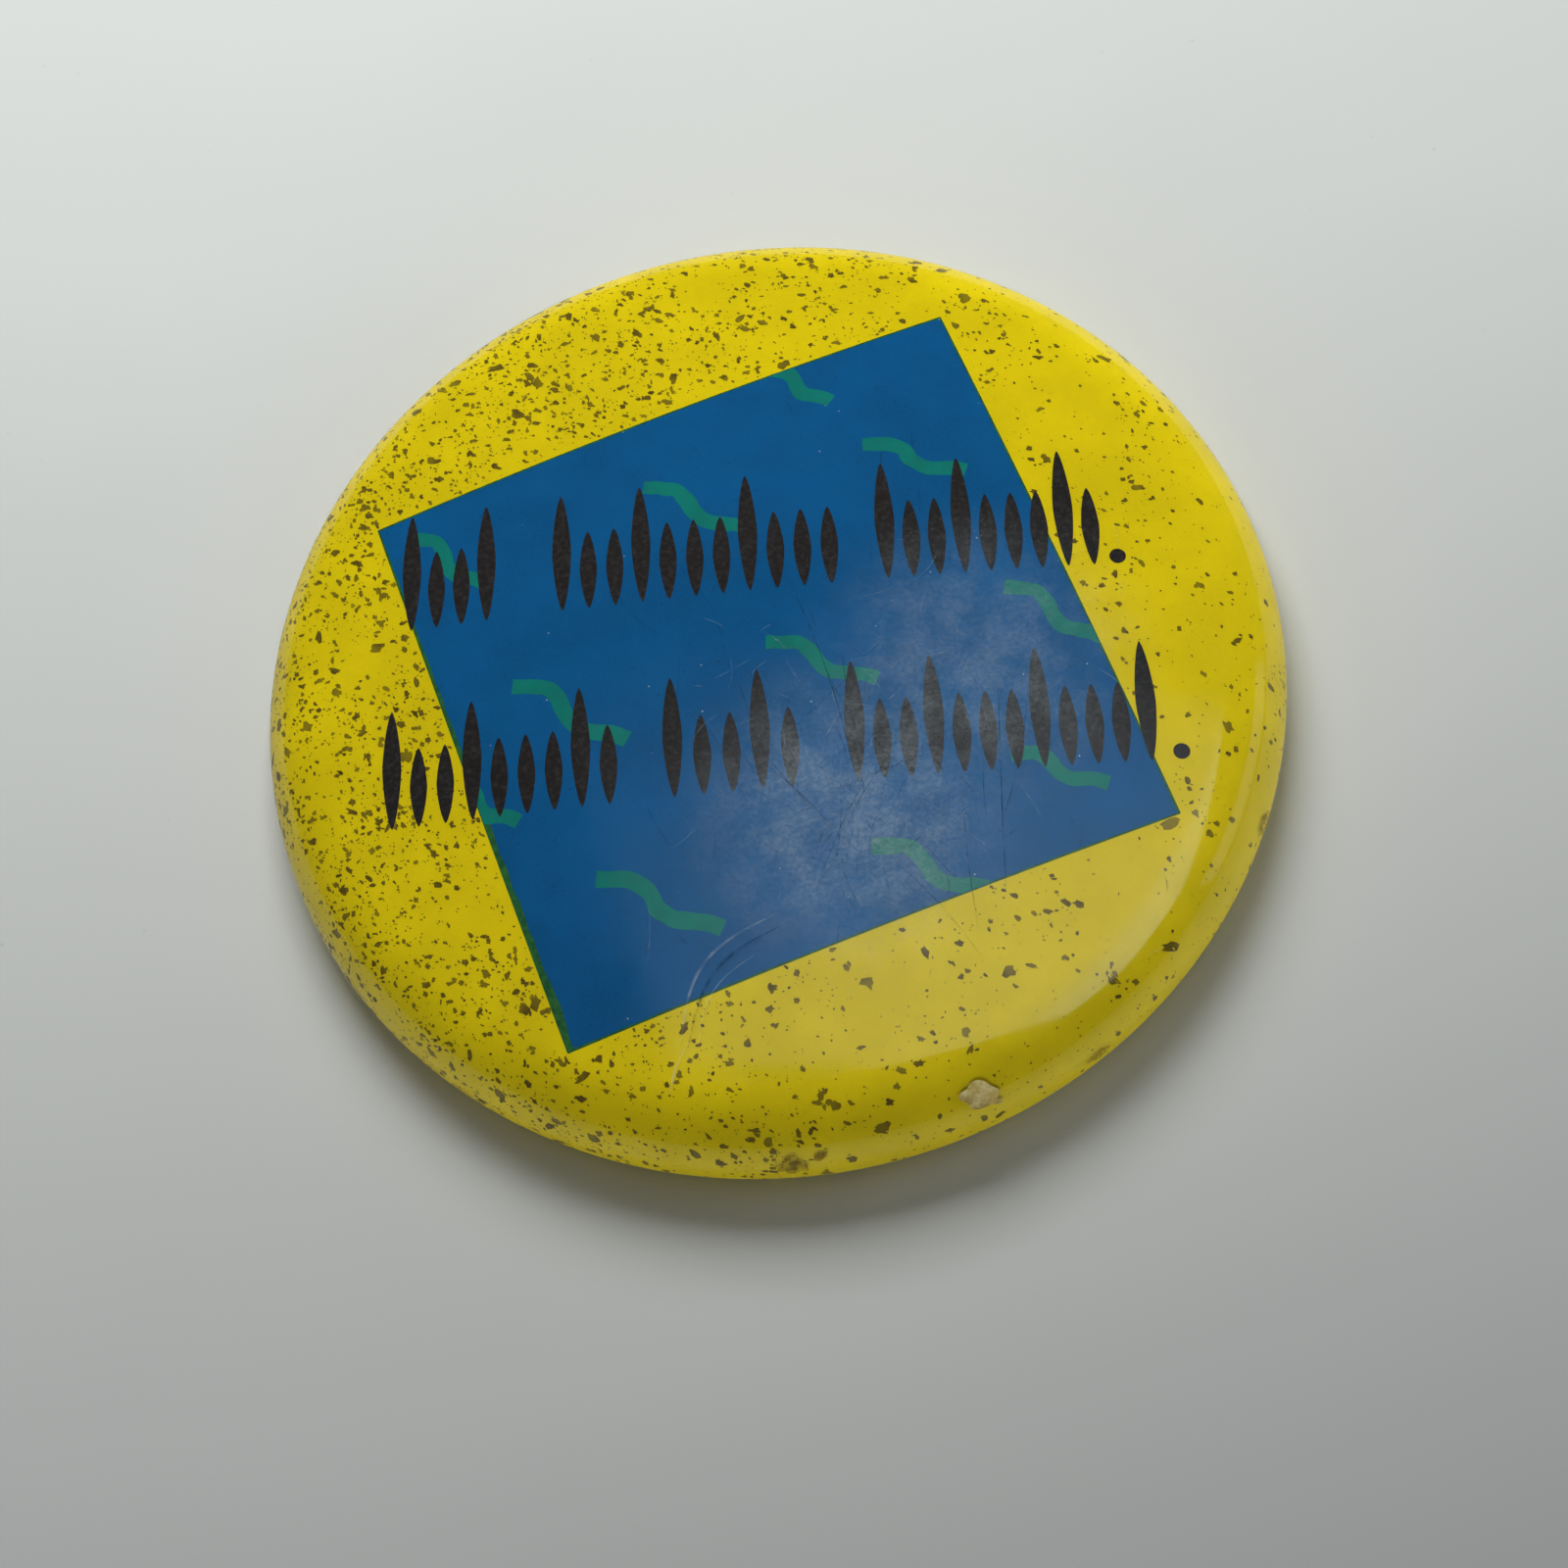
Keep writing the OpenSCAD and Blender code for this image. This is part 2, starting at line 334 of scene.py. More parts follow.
class Recipe:
    """A procedural material in the making, on object coordinates in millimetres."""

    def __init__(self, name):
        self.material = bpy.data.materials.new(name)
        self.material.use_nodes = True
        self.tree = self.material.node_tree
        self.tree.nodes.clear()
        self.output = self.add("ShaderNodeOutputMaterial")
        self.place = self.add("ShaderNodeTexCoord").outputs["Object"]

    def add(self, kind, **settings):
        """A node, with its properties by name and its inputs by name or number in 'sockets'."""
        sockets = settings.pop("sockets", {})
        node = self.tree.nodes.new(kind)
        for key, value in settings.items():
            setattr(node, key, value)
        for key, value in sockets.items():
            self.join(value, node.inputs[key])
        return node

    def join(self, value, socket):
        """Links a value to a socket, or sets it there if it is a constant."""
        if isinstance(value, bpy.types.NodeSocket):
            self.tree.links.new(value, socket)
        else:
            socket.default_value = value

    def stretched(self, scale=(1, 1, 1), turn=0.0, at=(0, 0, 0)):
        """Object coordinates scaled to millimetres and stretched."""
        return self.add("ShaderNodeMapping", sockets={
            "Vector": self.place, "Location": at, "Rotation": (0, 0, turn),
            "Scale": tuple(s / MM for s in scale)}).outputs["Vector"]

    def noise(self, scale, detail=2.0, rough=0.5, vector=None, distort=0.0):
        """Noise with a number of features to the millimetre."""
        return self.add("ShaderNodeTexNoise", sockets={
            "Vector": vector or self.stretched(), "Scale": scale, "Detail": detail,
            "Roughness": rough, "Distortion": distort}).outputs["Fac"]

    def cells(self, scale, feature="F1"):
        """Distance to the nearest of a number of points to the millimetre."""
        return self.add("ShaderNodeTexVoronoi", feature=feature, sockets={
            "Vector": self.stretched(), "Scale": scale}).outputs["Distance"]

    def axis(self, letter):
        """One of the object coordinates in millimetres."""
        return self.add("ShaderNodeSeparateXYZ", sockets={0: self.stretched()}).outputs[letter]

    def ramp(self, value, low, high, start=0.0, end=1.0):
        """value mapped smoothly from low..high to start..end, and kept there."""
        return self.add("ShaderNodeMapRange", interpolation_type="SMOOTHSTEP", sockets={
            "Value": value, "From Min": low, "From Max": high, "To Min": start, "To Max": end}).outputs[0]

    def math(self, operation, *values):
        """A sum of two values or a function of one, by the name of its operation."""
        return self.add("ShaderNodeMath", operation=operation, sockets=dict(enumerate(values))).outputs[0]

    def times(self, first, *others):
        """Product of all the values."""
        for value in others:
            first = self.math("MULTIPLY", first, value)
        return first

    def plus(self, first, second):
        return self.math("ADD", first, second)

    def mix(self, share, first, second):
        """Colour between first and second."""
        node = self.add("ShaderNodeMix", data_type="RGBA")
        for value, index in ((share, 0), (first, 6), (second, 7)):
            if not isinstance(value, bpy.types.NodeSocket) and index and len(value) == 3:
                value = (*value, 1)
            self.join(value, node.inputs[index])
        return node.outputs[2]

    def bump(self, height, distance):
        """Normal of a relief that is a distance in millimetres high."""
        return self.add("ShaderNodeBump", sockets={
            "Height": height, "Distance": distance * MM}).outputs["Normal"]

    def spot(self, middle, radius, soft=0.5):
        """1 near a point in millimetres, fading out to 0 at a radius."""
        away = self.add("ShaderNodeVectorMath", operation="DISTANCE", sockets={
            0: self.stretched(), 1: middle}).outputs["Value"]
        return self.ramp(away, radius * (1 - soft), radius, 1, 0)

    def finish(self, shader):
        self.tree.links.new(shader, self.output.inputs["Surface"])
        return self.material

    def principled(self, **sockets):
        """The finished material, as one Principled shader with its inputs by name."""
        names = {key: key.replace("_", " ").title().replace("Ior", "IOR") for key in sockets}
        return self.finish(self.add("ShaderNodeBsdfPrincipled", sockets={
            names[key]: value for key, value in sockets.items()}).outputs[0])

    def ink(self, tone, roughness, relief, distance):
        """The finished material of matt printing ink with a fine relief."""
        return self.principled(
            base_color=tone, roughness=roughness, specular_ior_level=INK_SHINE,
            normal=self.bump(relief, distance))


def shade(colour, share):
    """A colour made darker or lighter by a share."""
    return tuple(min(1.0, c * share) for c in colour[:3]) + (1.0,)


def ground_ink(colour):
    """Printed yellow ground on white paper, with a fine screen, faint foxing, and darker brown where it lies
    low under the rim.
    """
    m = Recipe("ground_ink")
    mottle = m.ramp(m.noise(0.22, 4, 0.6), 0.35, 0.7)
    grain = m.ramp(m.noise(7.0, 2, 0.6), 0.3, 0.75)
    tone = m.mix(mottle, shade(colour, 0.93), shade(colour, 1.05))
    tone = m.mix(m.times(grain, 0.16), tone, (0.92, 0.78, 0.004, 1))
    foxing = m.times(m.ramp(m.noise(0.5, 5, 0.7), 0.64, 0.78), 0.35)
    tone = m.mix(foxing, tone, (0.50, 0.36, 0.02, 1))
    # darker brown where the paper lies low under the rim, broken up by noise
    low = m.ramp(m.axis("Z"), 1.6, 0.2, 0.0, 0.45)
    dark_under_rim = m.times(low, m.ramp(m.noise(0.9, 4), 0.35, 0.65))
    tone = m.mix(dark_under_rim, tone, (0.42, 0.30, 0.03, 1))
    return m.ink(tone, m.ramp(grain, 0, 1, 0.5, 0.62), grain, 0.004)


def square_ink(colour):
    """Blue ink with cloudy density, pinholes of paper and darker pick-outs."""
    m = Recipe("square_ink")
    cloud = m.ramp(m.noise(0.16, 5, 0.62), 0.32, 0.68)
    tone = m.mix(cloud, shade(colour, 0.90), shade(colour, 1.14))
    grain = m.ramp(m.noise(5.5, 3, 0.7), 0.28, 0.72)
    tone = m.mix(m.times(grain, 0.25), tone, shade(colour, 1.45))
    dark = m.times(m.ramp(m.noise(3.1, 2, 0.7), 0.66, 0.75), 0.5)
    tone = m.mix(dark, tone, shade(colour, 0.45))
    pinholes = m.ramp(m.cells(0.9), 0.035, 0.055, 0.75, 0)
    some = m.ramp(m.noise(0.7, 1), 0.5, 0.56)
    tone = m.mix(m.times(pinholes, some), tone, (0.45, 0.52, 0.60, 1))
    return m.ink(tone, 0.5, grain, 0.003)


def squiggle_ink(colour):
    """Teal ink, speckled where it missed the paper's fibres."""
    m = Recipe("squiggle_ink")
    speckle = m.ramp(m.noise(9.0, 3, 0.7), 0.40, 0.66)
    cloud = m.ramp(m.noise(0.6, 3), 0.3, 0.7)
    tone = m.mix(cloud, shade(colour, 0.88), shade(colour, 1.1))
    tone = m.mix(m.times(speckle, 0.55), tone, (0.02, 0.14, 0.17, 1))
    return m.ink(tone, 0.5, speckle, 0.003)


def edge_ink():
    """Dark green line where the blue ink overprints the yellow."""
    m = Recipe("edge_ink")
    uneven = m.ramp(m.noise(2.2, 3, 0.6), 0.3, 0.7)
    return m.ink(m.mix(uneven, (0.012, 0.085, 0.028, 1), (0.03, 0.15, 0.04, 1)), 0.5, uneven, 0.002)


def black_ink(colour):
    """Black ink, a little grey where it is thin."""
    m = Recipe("black_ink")
    thin = m.ramp(m.noise(3.5, 4, 0.7), 0.42, 0.75)
    tone = m.mix(m.times(thin, 0.7), (*colour[:3], 1), (0.055, 0.05, 0.05, 1))
    return m.ink(tone, m.ramp(thin, 0, 1, 0.42, 0.55), thin, 0.003)


def fleck_ink():
    """Splattered ink from dark brown to olive, a different shade on each fleck."""
    m = Recipe("fleck_ink")
    kind = m.ramp(m.cells(1.1, feature="SMOOTH_F1"), 0.15, 0.75)
    tone = m.mix(kind, (0.10, 0.066, 0.008, 1), (0.27, 0.205, 0.006, 1))
    ragged = m.ramp(m.noise(11, 3, 0.7), 0.45, 0.7)
    return m.ink(m.mix(m.times(ragged, 0.45), tone, (0.30, 0.23, 0.01, 1)), 0.55, ragged, 0.002)


def clear_plastic(haze):
    """Clear glossy film. Where it was rubbed it is milky, and its mirror breaks up in a web of fine lines."""
    m = Recipe("clear_plastic")
    rubbed = m.math("MAXIMUM", m.spot((4.5, -10.5, 7.0), 11.0, 0.9), m.times(
        m.spot((11.5, -2.5, 7.0), 11.0, 0.9), 0.7))
    web = m.ramp(m.noise(4.2, 5, 0.78), 0.36, 0.68)
    patch = m.ramp(m.noise(0.45, 3, 0.6), 0.35, 0.68)
    lines = 0.0
    for turn, scale, seed in ((0.35, 1.7, 3), (1.2, 2.1, 11), (-0.9, 1.4, 23)):
        streak = m.noise(scale, 3, 0.6, m.stretched((0.12, 1, 1), turn, (seed, seed, seed)), 0.6)
        off_line = m.math("ABSOLUTE", m.math("SUBTRACT", streak, 0.5))
        lines = m.math("MAXIMUM", lines, m.ramp(off_line, 0.0, 0.012, 1, 0))
    cloudy = m.times(m.plus(m.times(web, 0.5), 0.5), m.plus(m.times(patch, 0.6), 0.4))
    milky = m.times(rubbed, cloudy, haze)
    worn = m.plus(m.times(rubbed, 0.75), 0.12)
    dull = m.times(m.math("MAXIMUM", lines, m.math("SUBTRACT", 1.0, web)), m.times(worn, 0.75))
    smear = m.ramp(m.noise(0.35, 4, 0.6), 0.35, 0.75, 0.06, 0.13)
    normal = m.bump(m.noise(0.16, 2, 0.5), 0.010)
    gloss = m.add("ShaderNodeBsdfGlossy", sockets={
        "Color": (1, 1, 1, 1), "Roughness": m.plus(smear, m.times(dull, 0.25)), "Normal": normal})
    clear = m.add("ShaderNodeBsdfTransparent", sockets={"Color": (1, 1, 1, 1)})
    white = m.add("ShaderNodeBsdfDiffuse", sockets={"Color": (0.67, 0.81, 0.92, 1)})
    body = m.add("ShaderNodeMixShader", sockets={0: milky, 1: clear.outputs[0], 2: white.outputs[0]})
    slant = m.add("ShaderNodeLayerWeight", sockets={"Blend": 0.5, "Normal": normal}).outputs["Facing"]
    head_on, grazing = 0.055, 0.38
    mirror = m.times(
        m.plus(m.times(m.math("POWER", slant, 5.0), grazing), head_on), m.math("SUBTRACT", 1.0, dull))
    return m.finish(m.add("ShaderNodeMixShader", sockets={
        0: mirror, 1: body.outputs[0], 2: gloss.outputs[0]}).outputs[0])


def clear_inside():
    """The film's inner side, which lies on the paper and shows nothing but a faint tint."""
    m = Recipe("clear_inside")
    tint = m.mix(m.ramp(m.noise(0.3, 3), 0.3, 0.7), (1.0, 0.998, 0.985, 1), (0.985, 0.98, 0.955, 1))
    return m.finish(m.add("ShaderNodeBsdfTransparent", sockets={"Color": tint}).outputs[0])


def scratch_mark(name, colour, strength):
    """A hairline in the film that comes and goes along its length."""
    m = Recipe(name)
    broken = m.ramp(m.noise(1.6, 4, 0.7), 0.38, 0.66, 0.04, strength)
    tone = m.mix(m.ramp(m.noise(4, 2), 0.3, 0.7), shade(colour, 0.85), shade(colour, 1.15))
    return m.principled(base_color=tone, roughness=0.6, specular_ior_level=0.1, alpha=broken)


def dried_glue():
    """Cream blob, with painted shade in dark brown on its lower edge, the side away from the key light."""
    m = Recipe("dried_glue")
    lumps = m.ramp(m.noise(1.8, 4, 0.65), 0.35, 0.65)
    # painted shade: the lower edge, turned away from the key light, is darkened to brown
    low = m.ramp(m.axis("Y"), -25.6, -26.5)
    tone = m.mix(lumps, (0.62, 0.46, 0.12, 1), (0.80, 0.68, 0.30, 1))
    tone = m.mix(m.times(low, m.ramp(m.noise(2.5, 3), 0.3, 0.6)), tone, (0.24, 0.13, 0.015, 1))
    return m.principled(base_color=tone, roughness=0.6, normal=m.bump(lumps, 0.05))


def brown_stain():
    """Thin brown stain that breaks up towards its edges."""
    m = Recipe("brown_stain")
    patchy = m.ramp(m.noise(2.4, 5, 0.7), 0.38, 0.6, 0.1, 0.75)
    tone = m.mix(patchy, (0.40, 0.26, 0.02, 1), (0.16, 0.09, 0.01, 1))
    return m.principled(base_color=tone, roughness=0.55, alpha=patchy)


def tinplate(name, tarnish, brightness=1.0):
    """Rolled tinplate: fine lines along the sheet, cloudy tin and spots of rust."""
    m = Recipe(name)
    rolled = m.noise(14, 3, 0.6, m.stretched((0.03, 1, 0.6)))
    cloud = m.ramp(m.noise(0.28, 5, 0.62), 0.35, 0.7)
    spangle = m.ramp(m.cells(0.8, feature="SMOOTH_F1"), 0.2, 0.8)
    tone = m.mix(cloud, shade((0.66, 0.65, 0.62), brightness), shade((0.48, 0.47, 0.44), brightness))
    tone = m.mix(m.times(spangle, 0.18), tone, shade((0.40, 0.40, 0.39), brightness))
    spots = m.ramp(m.noise(1.3, 5, 0.72), 0.70 - 0.08 * tarnish, 0.80 - 0.05 * tarnish)
    tone = m.mix(m.times(spots, 0.85), tone, (0.17, 0.075, 0.025, 1))
    rough = m.plus(m.ramp(cloud, 0, 1, 0.26, 0.44), m.times(rolled, 0.10))
    return m.principled(
        base_color=tone, metallic=m.ramp(spots, 0, 1, 1.0, 0.25),
        roughness=m.math("MAXIMUM", rough, m.times(spots, 0.8)),
        normal=m.bump(m.plus(rolled, m.times(cloud, 0.6)), 0.006))


def spring_wire():
    """Nickel-plated steel wire with drawing lines along it and dull patches."""
    m = Recipe("spring_wire")
    drawn = m.noise(9, 3, 0.65, m.stretched((0.05, 1, 1)))
    dull = m.ramp(m.noise(0.9, 4, 0.65), 0.45, 0.75)
    tone = m.mix(dull, (0.70, 0.68, 0.64, 1), (0.44, 0.41, 0.36, 1))
    rust = m.ramp(m.noise(3.0, 4, 0.7), 0.72, 0.82)
    tone = m.mix(rust, tone, (0.16, 0.07, 0.025, 1))
    return m.principled(
        base_color=tone, metallic=m.ramp(rust, 0, 1, 1.0, 0.3), roughness=m.ramp(dull, 0, 1, 0.20, 0.42),
        normal=m.bump(drawn, 0.006))


def floor_paint(colour):
    """Smooth pale table top with the faintest marks, and a painted shadow that darkens it towards the front
    right.

    Past the reach of the lamps it glows a little, so that it stays pale out to its edge.
    """
    m = Recipe("floor_paint")
    cloud = m.ramp(m.noise(0.012, 4, 0.6), 0.3, 0.7)
    dust = m.ramp(m.noise(0.9, 2, 0.6), 0.74, 0.79, 0.0, 0.22)
    tone = m.mix(cloud, shade(colour, 0.98), shade(colour, 1.02))
    # painted shadow: the floor's colour darkens towards the front right
    shadow_reach = m.math("SUBTRACT", m.times(m.axis("X"), 0.35), m.times(m.axis("Y"), 0.94))
    tone = m.mix(m.ramp(shadow_reach, -20, 110), tone, shade(colour, 0.46))
    near = m.spot((0, 0, 0), 450, 0.65)
    return m.principled(
        base_color=m.mix(dust, tone, shade(colour, 0.55)), roughness=0.6,
        emission_color=shade(colour, FAR_SHADE), emission_strength=m.math("SUBTRACT", 1.0, near))


def panel_glow(strength):
    """Ceiling panel that is brightest over the front right."""
    m = Recipe("panel_glow")
    right, front = m.ramp(m.axis("X"), -110, 30), m.ramp(m.axis("Y"), 130, 10)
    border = m.ramp(m.axis("X"), 60, 150, 1.0, 1.8)
    power = m.times(right, front, border, strength)
    glow = m.add("ShaderNodeEmission", sockets={"Color": (0.86, 0.95, 1.0, 1), "Strength": power})
    return m.finish(glow.outputs[0])


# ------------------------------------------------------------------------------------------ the operators


class BADGE_OT_stage(bpy.types.Operator):
    """Add the floor, the camera, the lights and the sky"""

    bl_idname = "badge.stage"
    bl_label = "Stage"

    half_floor, floor_drop = 900, 0.02
    panel_height = 200
    panel_corners = (
        (-70, 110), (-40, 0), (0, -6), (45, -56), (180, -170), (250, -160), (265, -70), (125, 70))
    # name, share of the key light, width and height, place in millimetres, seen in mirrors, tint
    lamps = (
        ("key_light", 1.0, (170, 120), (-25, 170, 195), False, (1.0, 1.0, 0.985)),
        ("top_light", 0.08, (240, 240), (-20, 10, 320), False, (1, 1, 1)),
        ("side_panel", 0.05, (200, 90), (330, 10, 70), True, (1, 1, 1)),
        ("side_fill", 0.64, (160, 60), (330, 60, 40), False, (1, 1, 1)),
        ("front_fill", 0.54, (220, 50), (-60, -330, 30), False, (1, 1, 1)),
    )
    sky_tint = (0.90, 0.95, 1.0, 1)
    camera_at = (12.0, -71.8, 144.0)
    camera_ahead, camera_up = (-0.0738, 0.4181, -0.9054), (0.0912, 0.9069, 0.4114)

    def execute(self, context):
        props = context.scene.badge_stage
        self.surfaces(props)
        for lamp in self.lamps:
            self.lamp(context.scene, props.key, *lamp)
        self.sky(context.scene, props.fill, shade(props.floor, FAR_SHADE))
        self.camera(context.scene, props.lens)
        return {"FINISHED"}

    def surfaces(self, props):
        """The floor, and a panel overhead that shows only in the film's mirror."""
        bm = bmesh.new()
        bmesh.ops.create_grid(bm, x_segments=4, y_segments=4, size=self.half_floor)
        bmesh.ops.translate(bm, verts=bm.verts, vec=(0, 0, -self.floor_drop))
        floor = as_object("floor", bm, floor_paint(props.floor))

        bm = bmesh.new()
        bmesh.ops.create_circle(bm, cap_ends=True, radius=1, segments=len(self.panel_corners))
        for vert, corner in zip(bm.verts, self.panel_corners):
            vert.co = (*corner, self.panel_height)
        bmesh.ops.recalc_face_normals(bm, faces=bm.faces)
        panel = as_object("ceiling_panel", bm, panel_glow(props.veil))
        panel.visible_camera = False
        panel.visible_diffuse = False

    @staticmethod
    def lamp(scene, key, name, share, size, place, mirrored, tint):
        """One area light, turned to the badge."""
        light = bpy.data.lights.new(name, "AREA")
        light.shape, light.energy, light.color = "RECTANGLE", key * share, tint
        light.size, light.size_y = size[0] * MM, size[1] * MM
        item = bpy.data.objects.new(name, light)
        item.location = Vector(place) * MM
        item.rotation_mode = "QUATERNION"
        item.rotation_quaternion = (-Vector(place)).to_track_quat("-Z", "Y")
        item.visible_camera = False
        item.visible_glossy = mirrored
        scene.collection.objects.link(item)

    def sky(self, scene, strength, behind):
        """An even dim light from all sides. The camera sees a pale colour there, which lights nothing."""
        world = bpy.data.worlds.new("sky")
        world.use_nodes = True
        tree = world.node_tree
        lit = tree.nodes["Background"]
        lit.inputs["Color"].default_value = self.sky_tint
        lit.inputs["Strength"].default_value = strength
        seen = tree.nodes.new("ShaderNodeBackground")
        seen.inputs["Color"].default_value = behind
        either = tree.nodes.new("ShaderNodeMixShader")
        rays = tree.nodes.new("ShaderNodeLightPath")
        tree.links.new(rays.outputs["Is Camera Ray"], either.inputs[0])
        tree.links.new(lit.outputs[0], either.inputs[1])
        tree.links.new(seen.outputs[0], either.inputs[2])
        tree.links.new(either.outputs[0], tree.nodes["World Output"].inputs["Surface"])
        scene.world = world
        scene.view_settings.view_transform = "Standard"

    def camera(self, scene, lens):
        item = bpy.data.objects.new("camera", bpy.data.cameras.new("camera"))
        item.data.lens = lens
        item.data.sensor_width = 36
        item.data.clip_start, item.data.clip_end = 0.005, 10
        ahead = Vector(self.camera_ahead).normalized()
        right = ahead.cross(Vector(self.camera_up)).normalized()
        turn = Matrix((right, right.cross(ahead), -ahead)).transposed()
        item.matrix_world = Matrix.Translation(Vector(self.camera_at) * MM) @ turn.to_4x4()
        scene.collection.objects.link(item)
        scene.camera = item


class BADGE_OT_film(bpy.types.Operator):
    """Wrap the clear film over the badge, pleated where it is gathered under the rim"""

    bl_idname = "badge.film"
    bl_label = "Clear Film"

    def execute(self, context):
        bm = spun(layer_outline(FILM, 55))
        gather(bm)
        for face in bm.faces:
            middle = face.calc_center_median()
            radius = math.hypot(middle.x, middle.y)
            if radius < FACE_EDGE:
                hub_r, hub_z = 0, DOME_Z
            else:
                hub_r, hub_z = (RIM_X if middle.z > WIDE_Z else CURL_X), WIDE_Z
            share = 1 - hub_r / radius
            outward = Vector((middle.x * share, middle.y * share, middle.z - hub_z))
            face.material_index = int(face.normal.dot(outward) < 0)
        haze = context.scene.badge_wear.haze
        film = as_piece("film", bm, "badge", "film", clear_plastic(haze), clear_inside(), sharp=60)
        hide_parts("clear_film")
        return {"FINISHED"}


class BADGE_OT_paper(bpy.types.Operator):
    """Wrap the printed paper over the shell"""

    bl_idname = "badge.paper"
    bl_label = "Printed Paper"

    def execute(self, context):
        bm = spun(layer_outline(PAPER, 57))
        gather(bm)
        ground = ground_ink(context.scene.badge_print.ground)
        paper = as_piece("paper", bm, "badge", "print", ground, sharp=60)
        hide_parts("printed_paper")
        return {"FINISHED"}


def gather(bm):
    """Puffs out the pleats of a wrapped layer on the inner half of its curl."""
    first, fade, puff = CURL_X + 0.9, 1.6, 0.035
    for vert in bm.verts:
        radius = math.hypot(vert.co.x, vert.co.y)
        if vert.co.z < WIDE_Z and radius < first:
            turn = math.atan2(vert.co.y, vert.co.x)
            share = min(1.0, (first - radius) / fade)
            out = Vector((radius - CURL_X, vert.co.z - WIDE_Z)).normalized() * puff * share * pleats(turn)
            vert.co += Vector((math.cos(turn) * out.x, math.sin(turn) * out.x, max(out.y, -vert.co.z)))


def square_frame(props):
    """Middle, half sizes and turn of the printed square on the flat paper."""
    return (Vector((0.0, -0.93, 0)), props.square_width / MM / 2, props.square_height / MM / 2,
            Matrix.Rotation(props.square_turn, 4, "Z"))


class BADGE_OT_square(bpy.types.Operator):
    """Print the turned square with its overprinted edges"""

    bl_idname = "badge.square"
    bl_label = "Square"

    # width of the overprinted line at both ends of the top, right, bottom and left side
    edge_widths = ((0.10, 0.10), (0.10, 0.12), (0.10, 0.12), (0.55, 0.10))
    edge_steps, overlap = 80, 0.03

    def execute(self, context):
        props = context.scene.badge_print
        middle, half_w, half_h, turn = square_frame(props)
        bm = bmesh.new()
        bmesh.ops.create_grid(bm, x_segments=68, y_segments=68, size=1)
        bmesh.ops.scale(bm, verts=bm.verts, vec=(half_w, half_h, 1))
        bm.transform(Matrix.Translation(middle) @ turn)
        lift(bm, FLAT_INK)
        as_piece("square", bm, "badge", "print", square_ink(props.square))

        bm = bmesh.new()
        corners = [Vector((x * half_w, y * half_h, 0)) for x, y in ((-1, 1), (1, 1), (1, -1), (-1, -1))]
        for side, (first, last) in enumerate(self.edge_widths):
            a, b = corners[side], corners[(side + 1) % 4]
            out = sideways(b - a)
            row = [bm.verts.new(a.lerp(b, i / self.edge_steps)) for i in range(self.edge_steps + 1)]
            inner, _ = widened(bm, [bm.edges.new(pair) for pair in zip(row, row[1:])])
            for vert in inner:
                along = (vert.co - a).length / (b - a).length
                wide = first + (last - first) * along
                vert.co -= out * wide * (0.8 + 0.3 * noise.noise(vert.co * 0.9))
            for vert in row:
                vert.co += out * self.overlap
        bmesh.ops.recalc_face_normals(bm, faces=bm.faces)
        face_up(bm)
        bm.transform(Matrix.Translation(middle) @ turn)
        lift(bm, LINE_INK)
        as_piece("square_edges", bm, "badge", "print", edge_ink())
        return {"FINISHED"}


